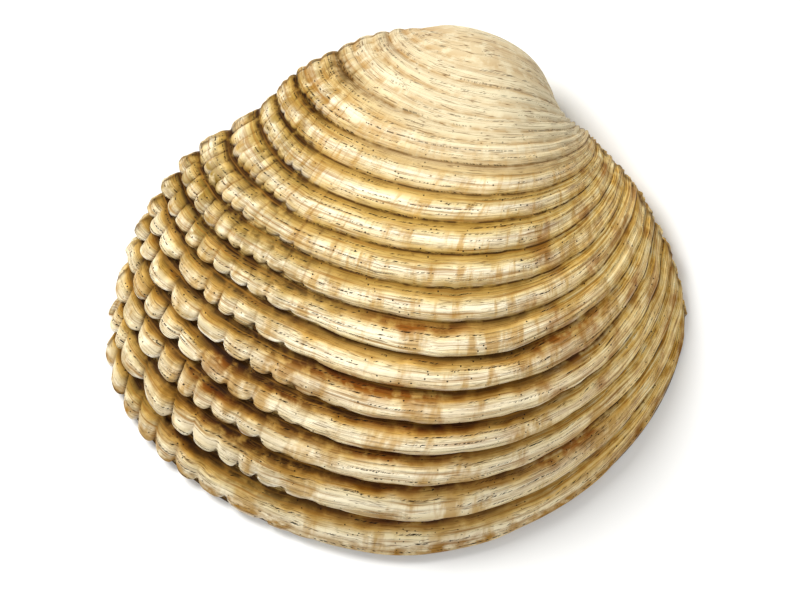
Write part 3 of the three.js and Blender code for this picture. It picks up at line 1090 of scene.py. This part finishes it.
    def _notch_shaded(self, tree: Tree, reads: dict[str, Socket], colour: Socket) -> Socket:
        """Draws faint uneven lines of painted shade in the notches between beads.

        Args:
            tree: the material's nodes.
            reads: what the finish reads from the piece.
            colour: the colour below.

        Returns:
            The colour with its lines.
        """
        beside = add(tree, "Math", {0: reads["phase"], 1: 0.5}, operation="PINGPONG")
        uneven = {0: reads["ray"], 1: self.notch_uneven, 2: beside}
        uneven = add(tree, "Math", uneven, operation="MULTIPLY_ADD")
        notch = {"Value": uneven, "From Min": 0.56, "From Max": 0.66, "To Max": 0.6}
        notch = add(tree, "MapRange", notch)
        share = add(tree, "Math", {0: notch, 1: reads["notched"]}, operation="MULTIPLY")
        share = add(tree, "Math", {0: share, 1: reads["ribbed"]}, operation="MULTIPLY")
        tones = {SHARE: share, UNDER: colour, OVER: linear(self.furrow_shade)}
        return add(tree, "Mix", tones, MIXED, data_type="RGBA")

    def _stained(self, tree: Tree, reads: dict[str, Socket], colour: Socket) -> Socket:
        """Lays the khaki, golden, brown and white layers over the bands; the brown groove layer is
        partly painted shade, the dark pit layer is painted shade and the white rim layer is partly a
        painted highlight.

        Args:
            tree: the material's nodes.
            reads: what the finish reads from the piece.
            colour: the colour below.

        Returns:
            The colour with its layers.
        """
        grain = {"Vector": reads["place"], "Scale": 1 / (self.blot_mm * MM), "Detail": 5.0}
        grain = add(tree, "TexNoise", grain, "Fac")
        # This noise breaks up every layer, the painted shade and highlight layers too.
        worn = {"Value": grain, "From Min": 0.38, "From Max": 0.54, "To Min": 0.2}
        worn = add(tree, "MapRange", worn)
        for name, tone, coat in self.layers:
            share = add(tree, "Math", {0: reads[name], 1: worn}, operation="MULTIPLY")
            tones = {SHARE: share, UNDER: colour, OVER: linear(tone)}
            colour = add(tree, "Mix", tones, MIXED, data_type="RGBA", blend_type=coat.value)
        return colour

    def _furrow_shaded(self, tree: Tree, reads: dict[str, Socket], colour: Socket) -> Socket:
        """Paints shade into the furrows between the growth threads and draws hairlines along their
        edges.

        Args:
            tree: the material's nodes.
            reads: what the finish reads from the piece.
            colour: the colour below.

        Returns:
            The colour with its furrows.
        """
        streak = reads["streak"]
        strong = add(tree, "MapRange", {"Value": reads["ribbed"], "To Min": 0.5})
        share = {"Value": streak, "From Min": 0.48, "From Max": 0.32, "To Max": 0.8}
        share = add(tree, "MapRange", share)
        share = add(tree, "Math", {0: share, 1: strong}, operation="MULTIPLY")
        tones = {SHARE: share, UNDER: colour, OVER: linear(self.furrow_shade)}
        colour = add(tree, "Mix", tones, MIXED, data_type="RGBA")
        beside = add(tree, "Math", {0: streak, 1: 0.5}, operation="SUBTRACT")
        beside = add(tree, "Math", {0: beside}, operation="ABSOLUTE")
        hair = {"Value": beside, "From Min": 0.016, "From Max": 0.004, "To Max": 0.75}
        tones = {SHARE: add(tree, "MapRange", hair), UNDER: colour, OVER: linear(self.hairline)}
        return add(tree, "Mix", tones, MIXED, data_type="RGBA")

    def _lip_shadow_lines(self, tree: Tree, reads: dict[str, Socket], colour: Socket) -> Socket:
        """Draws the thin line of painted shadow under each lip, stronger in some places than in others.

        Args:
            tree: the material's nodes.
            reads: what the finish reads from the piece.
            colour: the colour below.

        Returns:
            The colour with its lines.
        """
        across = reads["across"]
        under = add(tree, "MapRange", {"Value": across, "From Min": 0.95, "From Max": 0.98})
        foot = add(tree, "MapRange", {"Value": across, "From Min": 0.04, "From Max": 0.01})
        both = add(tree, "Math", {0: under, 1: foot}, operation="MAXIMUM")
        blots = {"Vector": reads["place"], "Scale": 1 / (self.blot_mm * MM), "Detail": 4.0}
        strong = {"Value": add(tree, "TexNoise", blots, "Fac"), "From Min": 0.35, "From Max": 0.55}
        strong = add(tree, "MapRange", {**strong, "To Min": 0.15, "To Max": 0.95})
        share = add(tree, "Math", {0: both, 1: strong}, operation="MULTIPLY")
        share = add(tree, "Math", {0: share, 1: reads["ribbed"]}, operation="MULTIPLY")
        tones = {SHARE: share, UNDER: colour, OVER: linear(self.lip_shadow)}
        return add(tree, "Mix", tones, MIXED, data_type="RGBA")

    def _inked(self, tree: Tree, reads: dict[str, Socket], colour: Socket) -> Socket:
        """Draws the broken dark dashes along some furrows and the scattered dark specks.

        Args:
            tree: the material's nodes.
            reads: what the finish reads from the piece.
            colour: the colour below.

        Returns:
            The finished colour.
        """
        marks = {0: self._dashes(tree, reads), 1: self._specks(tree, reads)}
        marks = add(tree, "Math", marks, operation="MAXIMUM")
        strong = {"Value": reads["ribbed"], "To Min": 0.45, "To Max": 0.95}
        strong = add(tree, "MapRange", strong)
        share = add(tree, "Math", {0: marks, 1: strong}, operation="MULTIPLY")
        tones = {SHARE: share, UNDER: colour, OVER: linear(self.ink)}
        return add(tree, "Mix", tones, MIXED, data_type="RGBA")

    def _dashes(self, tree: Tree, reads: dict[str, Socket]) -> Socket:
        """Finds the dashes: thin lines along the threads, broken up by two noises.

        Args:
            tree: the material's nodes.
            reads: what the finish reads from the piece.

        Returns:
            1 on a dash and 0 beside it.
        """
        sway = {"Vector": reads["place"], "Scale": 1 / (self.sway_mm * MM), "Detail": 2.0}
        sway = add(tree, "TexNoise", sway, "Fac")
        sway = add(tree, "Math", {0: sway, 1: self.thread_sway}, operation="MULTIPLY")
        thread = {0: reads["line"], 1: self.threads_per_rib, 2: sway}
        thread = add(tree, "Math", thread, operation="MULTIPLY_ADD")
        depth = add(tree, "Math", {0: thread, 1: 0.5}, operation="PINGPONG")
        share = add(tree, "Math", {0: depth, 1: self.dash_width}, operation="LESS_THAN")
        row = add(tree, "Math", {0: thread}, operation="ROUND")
        row = add(tree, "Math", {0: row, 1: self.dash_shift}, operation="MULTIPLY")
        for length in (self.dash_mm, self.chain_mm):
            run = add(tree, "Math", {0: reads["along"], 1: length}, operation="DIVIDE")
            spot = add(tree, "CombineXYZ", {0: run, 1: row})
            noise = {"Vector": spot, "Scale": 1.0, "Detail": 2.0, "Roughness": 0.6}
            noise = add(tree, "TexNoise", noise, "Fac")
            there = add(tree, "Math", {0: noise, 1: self.dash_noise}, operation="GREATER_THAN")
            share = add(tree, "Math", {0: share, 1: there}, operation="MULTIPLY")
        return share

    def _specks(self, tree: Tree, reads: dict[str, Socket]) -> Socket:
        """Finds the small round specks, which lie in crowds.

        Args:
            tree: the material's nodes.
            reads: what the finish reads from the piece.

        Returns:
            1 on a speck and 0 beside it.
        """
        place = reads["place"]
        crowd = {"Vector": place, "Scale": 1 / (self.crowd_mm * MM), "Detail": 3.0}
        crowd = add(tree, "TexNoise", crowd, "Fac")
        crowded = add(tree, "Math", {0: crowd, 1: self.crowd_noise}, operation="LESS_THAN")
        speck = {"Vector": place, "Scale": 1 / (self.speck_mm * MM)}
        speck = add(tree, "TexVoronoi", speck, "Distance")
        dot = add(tree, "Math", {0: speck, 1: self.speck_size}, operation="LESS_THAN")
        return add(tree, "Math", {0: dot, 1: crowded}, operation="MULTIPLY")

    def _relief(self, tree: Tree, reads: dict[str, Socket]) -> Socket:
        """Raises the threads and the fine chalky grit.

        Args:
            tree: the material's nodes.
            reads: what the finish reads from the piece.

        Returns:
            The bumped normal.
        """
        grit = {"Vector": reads["place"], "Scale": 1 / (self.grit_mm * MM), "Detail": 5.0}
        grit = add(tree, "TexNoise", grit, "Fac")
        height = {0: grit, 1: self.grit_share, 2: reads["streak"]}
        height = add(tree, "Math", height, operation="MULTIPLY_ADD")
        bump = {"Height": height, "Strength": 0.8, "Distance": self.thread_depth_mm * MM}
        return add(tree, "Bump", bump)


@dataclass(frozen=True)
class PorcelainAragonite:
    """Inner layer of the shell: dense aragonite that the living animal kept smooth.

    It is nearly white and a little glossy, like unglazed porcelain that has been rubbed.
    """

    white: str = "DCD6C8"
    cream: str = "CFC2A2"
    roughness: float = 0.38
    ior: float = 1.53
    cloud_mm: float = 6.0

    def build(self) -> bpy.types.Material:
        """Makes the material.

        Returns:
            The finished material.
        """
        material, shader = blank_material("porcelain_smooth_aragonite")
        tree = material.node_tree
        shader.inputs["Roughness"].default_value = self.roughness
        shader.inputs["IOR"].default_value = self.ior
        place = add(tree, "TexCoord", {}, "Object")
        cloud = {"Vector": place, "Scale": 1 / (self.cloud_mm * MM), "Detail": 4.0}
        cloud = add(tree, "TexNoise", cloud, "Fac")
        tones = {SHARE: cloud, UNDER: linear(self.white), OVER: linear(self.cream)}
        colour = add(tree, "Mix", tones, MIXED, data_type="RGBA")
        tree.links.new(colour, shader.inputs["Base Color"])
        return material


class Layer(IntEnum):
    """The two layers of the shell, by the place of their finish on the piece."""

    OUTER = 0
    INNER = 1


class Meeting(Enum):
    """What one closed mesh does to another: joins it, cuts it or trims it."""

    JOIN = "UNION"
    CUT = "DIFFERENCE"
    TRIM = "INTERSECT"


def make_active(*objects: bpy.types.Object) -> None:
    """Selects some objects alone.

    Args:
        objects: the objects, of which the first becomes the active one.
    """
    deselect()
    for one in objects:
        one.select_set(True)
    bpy.context.view_layer.objects.active = objects[0]


def deselect() -> None:
    """Leaves edit mode and deselects every object."""
    if bpy.context.object and bpy.context.object.mode != "OBJECT":
        bpy.ops.object.mode_set(mode="OBJECT")
    bpy.ops.object.select_all(action="DESELECT")


def edit_all() -> None:
    """Opens the active mesh for editing, with all of it selected."""
    bpy.ops.object.mode_set(mode="EDIT")
    bpy.ops.mesh.select_all(action="SELECT")


def select_open_edges() -> None:
    """Merges the doubles of the open mesh and selects only its open edges."""
    bpy.ops.mesh.remove_doubles(threshold=WELD_MM * MM)
    bpy.ops.mesh.select_all(action="DESELECT")
    bpy.ops.mesh.select_non_manifold()


def dress(piece: bpy.types.Object, finishes: Sequence[bpy.types.Material], layer: Layer) -> None:
    """Gives a mesh both finishes, and all of its faces that of one layer.

    Args:
        piece: the mesh object.
        finishes: the finishes of the shell, outer one first.
        layer: the layer that the faces belong to.
    """
    for finish in finishes:
        piece.data.materials.append(finish)
    faces = piece.data.polygons
    faces.foreach_set("material_index", np.full(len(faces), layer, int))


def sheet(name: str, points: Array) -> bpy.types.Object:
    """Makes a grid and draws its points on to a surface.

    Args:
        name: the object's name.
        points: rows by columns by 3, in millimetres, with rows running away from the beak.

    Returns:
        The new mesh object, whose faces point out of the dome.
    """
    rows, columns = points.shape[:2]
    deselect()
    bpy.ops.mesh.primitive_grid_add(x_subdivisions=columns - 1, y_subdivisions=rows - 1, size=2)
    made = bpy.context.object
    made.name = name
    made.data.name = name
    made.data.vertices.foreach_set("co", (points[::-1] * MM).astype(np.float32).ravel())
    made.data.update()
    return made


def store(mesh: bpy.types.Mesh, name: str, values: Array) -> None:
    """Keeps one number for each point of a grid in an attribute of its mesh."""
    layer = mesh.attributes.new(name, "FLOAT", "POINT")
    layer.data.foreach_set("value", values[::-1].astype(np.float32).ravel())


def curved(points: Sequence[Sequence[float]], per_span: int = 8) -> list[tuple[float, float]]:
    """Draws a smooth open curve through points of a plan.

    Args:
        points: x and y of each point.
        per_span: how many points each span gets.

    Returns:
        The points of the curve.
    """
    track = np.array([points[0], *points, points[-1]], float)
    f = np.linspace(0, 1, per_span, endpoint=False)[:, None]
    spans = []
    for i in range(1, len(track) - 2):
        before, start, end, after = track[i - 1:i + 3]
        out, back = (end - before) / 2, (after - start) / 2
        cubic = (2 * start - 2 * end + out + back) * f**3
        square = (3 * end - 3 * start - 2 * out - back) * f**2
        spans.append(cubic + square + out * f + start)
    return [tuple(point) for point in np.concatenate([*spans, track[-1:]])]


def prism(
    name: str, outline: Sequence[Sequence[float]], low: float, high: float
) -> bpy.types.Object:
    """Pushes a plan outline up into a closed block.

    Args:
        name: the object's name.
        outline: x and y of its corners, in millimetres.
        low: height of its floor.
        high: height of its top.

    Returns:
        The new block.
    """
    deselect()
    bpy.ops.mesh.primitive_circle_add(vertices=len(outline), fill_type="NGON")
    made = bpy.context.object
    made.name = name
    corners = np.array([(x, y, low) for x, y in outline]) * MM
    made.data.vertices.foreach_set("co", corners.astype(np.float32).ravel())
    edit_all()
    bpy.ops.mesh.extrude_region_move(TRANSFORM_OT_translate={"value": (0, 0, (high - low) * MM)})
    bpy.ops.mesh.select_all(action="SELECT")
    bpy.ops.mesh.normals_make_consistent(inside=False)
    bpy.ops.object.mode_set(mode="OBJECT")
    return made


def combine(target: bpy.types.Object, other: bpy.types.Object, how: Meeting) -> None:
    """Joins, cuts or trims a closed mesh by another, which is used up.

    Args:
        target: the mesh that changes.
        other: the mesh that it meets.
        how: what the other does to it.
    """
    make_active(target)
    step = target.modifiers.new(how.name, "BOOLEAN")
    step.operation = how.value
    step.object = other
    step.solver = "MANIFOLD"
    bpy.ops.object.modifier_apply(modifier=step.name)
    bpy.data.objects.remove(other)


@dataclass(frozen=True)
class HingePlate:
    """Thick plate under the beak, with a shallow pocket that holds three radiating teeth."""

    thickness: float = 2.4
    lift: float = 0.03
    edge: Plan = ((-11, 11.5), (-4, 12.6), (3, 11.4), (9, 8.8), (14, 7.4), (19, 8))
    far_side: Plan = ((24, 12), (14, 22), (-10, 22))
    pocket_depth: float = 1.3
    pocket_start: float = -1.0
    pocket: Plan = (
        (0, 14.1), (5, 14.7), (10, 14.4), (13.6, 12.8), (15.2, 10.2), (12, 9.8), (6, 12), (0, 14.1),
    )
    tooth_tips: Plan = ((2.6, 13.5), (7.4, 12.1), (12.8, 10.5))
    tooth_root: tuple[float, float] = (13, 14)
    tooth_width: float = 0.9
    tooth_taper: float = 0.6
    tooth_gap: float = 0.2
    tooth_sink: float = 0.1

    def build(self, trim: bpy.types.Object) -> bpy.types.Object:
        """Builds the plate.

        Args:
            trim: the closed dome that the plate must stay inside; it is used up.

        Returns:
            The plate with its pocket and teeth.
        """
        plate = prism("hinge_plate", [*curved(self.edge), *self.far_side], self.lift, self.thickness)
        combine(plate, trim, Meeting.TRIM)
        pocket = prism("pocket", curved(self.pocket)[:-1], self.pocket_start, self.pocket_depth)
        combine(plate, pocket, Meeting.CUT)
        for tip in self.tooth_tips:
            combine(plate, self._tooth(tip), Meeting.JOIN)
        return plate

    def _tooth(self, tip: tuple[float, float]) -> bpy.types.Object:
        """Makes one tooth, a wedge that widens from its root below the beak to its tip.

        Args:
            tip: x and y of the tip.

        Returns:
            The tooth.
        """
        root, end = Vector(self.tooth_root), Vector(tip)
        along = (end - root).normalized()
        across = Vector((-along.y, along.x)) * self.tooth_width / 2
        start = root + along * self.tooth_width
        narrow = across * self.tooth_taper
        corners = [start + narrow, start - narrow, end - across, end + across]
        return prism("tooth", corners, self.tooth_gap, self.thickness - self.tooth_sink)


@dataclass
class Valve:
    """The whole valve: ribbed outer skin, smooth bowl, rim and hinge plate.

    Lines and columns are given as the start of each stretch and how many it has.
    """

    growth: Growth = field(default_factory=Growth)
    sculpture: Sculpture = field(default_factory=Sculpture)
    weathering_and_painted_light: WeatheringAndPaintedLight = field(default_factory=WeatheringAndPaintedLight)
    beak_lines: int = 14
    lines_per_rib: int = 28
    groove_crowding: float = 0.05
    skin_columns: tuple[tuple[float, int], ...] = (
        (-1.0, 8), (0.0, 126), (0.63, 24), (1.0, 44), (2.0, 8),
    )
    relief_room: float = 0.5
    rim_middle: Point = (0.0, -2.0, 0.0)
    bowl_scale: Point = (0.93, 0.93, 0.92)
    bowl_first_line: float = 2.4
    bowl_beak_lines: int = 6
    bowl_lines: int = 26
    bowl_nose_curve: float = 0.8
    bowl_columns: tuple[tuple[float, int], ...] = ((-1.0, 6), (0.0, 50), (1.0, 50), (2.0, 6))
    plate_scale: Point = (0.97, 0.97, 0.97)
    plate_lines: tuple[tuple[float, int], ...] = ((0.0, 10), (2.0, 20))
    plate_columns: tuple[tuple[float, int], ...] = ((-1.0, 6), (0.0, 40), (1.0, 40), (2.0, 6))
    smooth_below: float = 75.0

    def build(self) -> bpy.types.Object:
        """Builds and dresses the valve.

        Returns:
            The finished piece.
        """
        finishes = (RibbedAragonite().build(), PorcelainAragonite().build())
        outside, inside = self._outside(), self._inside()
        dress(outside, finishes, Layer.OUTER)
        dress(inside, finishes, Layer.INNER)
        make_active(outside, inside)
        bpy.ops.object.join()
        self._close_rim()
        plate = HingePlate().build(self._trim())
        dress(plate, finishes, Layer.INNER)
        combine(outside, plate, Meeting.JOIN)
        make_active(outside)
        bpy.ops.object.material_slot_remove_unused()
        bpy.ops.object.shade_smooth_by_angle(angle=math.radians(self.smooth_below))
        return outside

    def _outside(self) -> bpy.types.Object:
        """Makes the outer skin with its relief, and stores on it what its finish reads.

        Returns:
            The skin.
        """
        first, last = self.sculpture.first_rib, self.sculpture.last_line
        t = spread([(0.0, self.beak_lines), (first, self.lines_per_rib * int(last - first))], last)
        t = np.where(t > first, t - self.groove_crowding * np.sin(2 * math.pi * t), t)
        q = spread(self.skin_columns, LAST_COLUMN)
        smooth, normals = self.growth.surface(t, q), self.growth.normals(t, q)
        t, q = np.meshgrid(t, q, indexing="ij")
        t = self.sculpture.swayed(t, q)
        height, share = self.sculpture.height(t, q)
        points = smooth + normals * self._above_rim(smooth, normals, height)[..., None]
        points[..., 2] = np.maximum(points[..., 2], 0.0)
        made = sheet("right_valve_shell", points)
        steps = np.linalg.norm(np.diff(points, axis=1), axis=2)
        along = np.concatenate([np.zeros((len(t), 1)), np.cumsum(steps, axis=1)], axis=1)
        places = {"line": t, "phase": self.sculpture.phase(t, q), "along": along}
        masks = self.weathering_and_painted_light.masks(t, q, share, self.sculpture)
        for name, values in {**places, **masks}.items():
            store(made.data, name, values)
        return made

    def _above_rim(self, smooth: Array, normals: Array, height: Array) -> Array:
        """Lowers the relief where it would reach far down towards the plane of the rim.

        Args:
            smooth: the smooth surface points.
            normals: the outward directions there.
            height: the wanted height of the relief.

        Returns:
            The height that has room.
        """
        tiny = 1e-6
        down = np.minimum(normals[..., 2], -tiny)
        room = -self.relief_room * smooth[..., 2] / down
        return np.where(normals[..., 2] < 0, np.minimum(height, room), height)

    def _inside(self) -> bpy.types.Object:
        """Makes the smooth bowl, which is thicker under the beak and faces inwards.

        Returns:
            The bowl.
        """
        stretches = [(0.0, self.bowl_beak_lines), (self.bowl_first_line, self.bowl_lines)]
        t = spread(stretches, self.growth.lines[-1])
        q = spread(self.bowl_columns, LAST_COLUMN)
        points = self.growth.surface(np.maximum(t, self.bowl_first_line), q)
        beak = np.array(self.growth.beak)
        nose = np.minimum(t / self.bowl_first_line, 1.0)[:, None, None]
        points = beak + (points - beak) * nose**self.bowl_nose_curve
        made = sheet("bowl", self._drawn_in(points, self.bowl_scale))
        edit_all()
        bpy.ops.mesh.flip_normals()
        bpy.ops.object.mode_set(mode="OBJECT")
        return made

    def _drawn_in(self, points: Array, scale: Point) -> Array:
        """Draws points in towards the middle of the rim."""
        middle = np.array(self.rim_middle)
        return middle + (points - middle) * np.array(scale)

    @staticmethod
    def _close_rim() -> None:
        """Closes the beak tips and fills the flat rim between the skin and the bowl."""
        edit_all()
        select_open_edges()
        bpy.context.object.active_material_index = Layer.INNER
        bpy.ops.mesh.fill(use_beauty=True)
        bpy.ops.object.material_slot_assign()
        bpy.ops.mesh.select_all(action="SELECT")
        bpy.ops.mesh.normals_make_consistent(inside=False)
        bpy.ops.object.mode_set(mode="OBJECT")

    def _trim(self) -> bpy.types.Object:
        """Makes the closed dome inside the wall that trims the hinge plate.

        Returns:
            The dome.
        """
        t = spread(self.plate_lines, self.growth.lines[-1])
        q = spread(self.plate_columns, LAST_COLUMN)
        made = sheet("trim", self._drawn_in(self.growth.surface(t, q), self.plate_scale))
        edit_all()
        select_open_edges()
        bpy.ops.mesh.edge_face_add()
        bpy.ops.object.mode_set(mode="OBJECT")
        return made


@dataclass(frozen=True)
class Lamp:
    """A square area light that faces the shell."""

    name: str
    place_mm: Point
    size_mm: float
    watts: float

    def build(self) -> None:
        """Adds the light to the scene."""
        light = bpy.data.lights.new(self.name, "AREA")
        light.size = self.size_mm * MM
        light.energy = self.watts
        holder = bpy.data.objects.new(self.name, light)
        holder.location = Vector(self.place_mm) * MM
        holder.rotation_euler = (-Vector(self.place_mm)).to_track_quat("-Z", "Y").to_euler()
        bpy.context.scene.collection.objects.link(holder)


@dataclass(frozen=True)
class Studio:
    """Pale floor, soft light from the beak side, and a camera that looks straight down."""

    paper: str = "F4F4F2"
    paper_roughness: float = 0.9
    floor_size_mm: float = 1200.0
    floor_gap_mm: float = 0.05
    lamps: tuple[Lamp, ...] = (
        Lamp("key", (-240, 270, 400), 220, 3.6), Lamp("fill", (150, -260, 320), 300, 0.4),
    )
    sky_strength: float = 0.5
    lens_mm: float = 620.0
    sensor_mm: float = 36.0
    photo_width_px: float = 800.0
    mm_per_px: float = 0.08591
    aim_mm: tuple[float, float] = (0.17, -0.86)
    aim_height_mm: float = 8.0
    nearest_m: float = 0.01
    farthest_m: float = 10.0

    def build(self) -> None:
        """Builds the floor, the lights and the camera."""
        self._floor()
        for lamp in self.lamps:
            lamp.build()
        self._sky()
        self._camera()

    def _floor(self) -> None:
        """Lays matt pale paper under the rim."""
        deselect()
        below = (0, 0, -self.floor_gap_mm * MM)
        bpy.ops.mesh.primitive_plane_add(size=self.floor_size_mm * MM, location=below)
        floor = bpy.context.object
        floor.name = "floor"
        material, shader = blank_material("matt_white_paper")
        shader.inputs["Base Color"].default_value = linear(self.paper)
        shader.inputs["Roughness"].default_value = self.paper_roughness
        floor.data.materials.append(material)

    def _sky(self) -> None:
        """Surrounds the scene with an even white sky."""
        world = bpy.data.worlds.new("white_sky")
        world.use_nodes = True
        background = world.node_tree.nodes["Background"]
        background.inputs["Color"].default_value = (1, 1, 1, 1)
        background.inputs["Strength"].default_value = self.sky_strength
        bpy.context.scene.world = world
        bpy.context.scene.view_settings.view_transform = "Standard"

    def _camera(self) -> None:
        """Places a long lens straight above, framed as the photo is."""
        lens = bpy.data.cameras.new("camera")
        lens.lens = self.lens_mm
        lens.sensor_width = self.sensor_mm
        lens.clip_start, lens.clip_end = self.nearest_m, self.farthest_m
        distance = self.lens_mm * self.photo_width_px * self.mm_per_px / self.sensor_mm
        camera = bpy.data.objects.new("camera", lens)
        camera.location = Vector((*self.aim_mm, self.aim_height_mm + distance)) * MM
        bpy.context.scene.collection.objects.link(camera)
        bpy.context.scene.camera = camera


def main() -> None:
    """Builds the valve and its setting, and reports each piece."""
    logging.basicConfig(level=logging.INFO, format="%(message)s")
    valve = Valve().build()
    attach(valve, "root")
    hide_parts("right_valve")
    LOG.info("%s: %d faces", valve.name, len(valve.data.polygons))
    Studio().build()
    LOG.info("studio: floor, lights and camera")


if __name__ == "__main__":
    main()
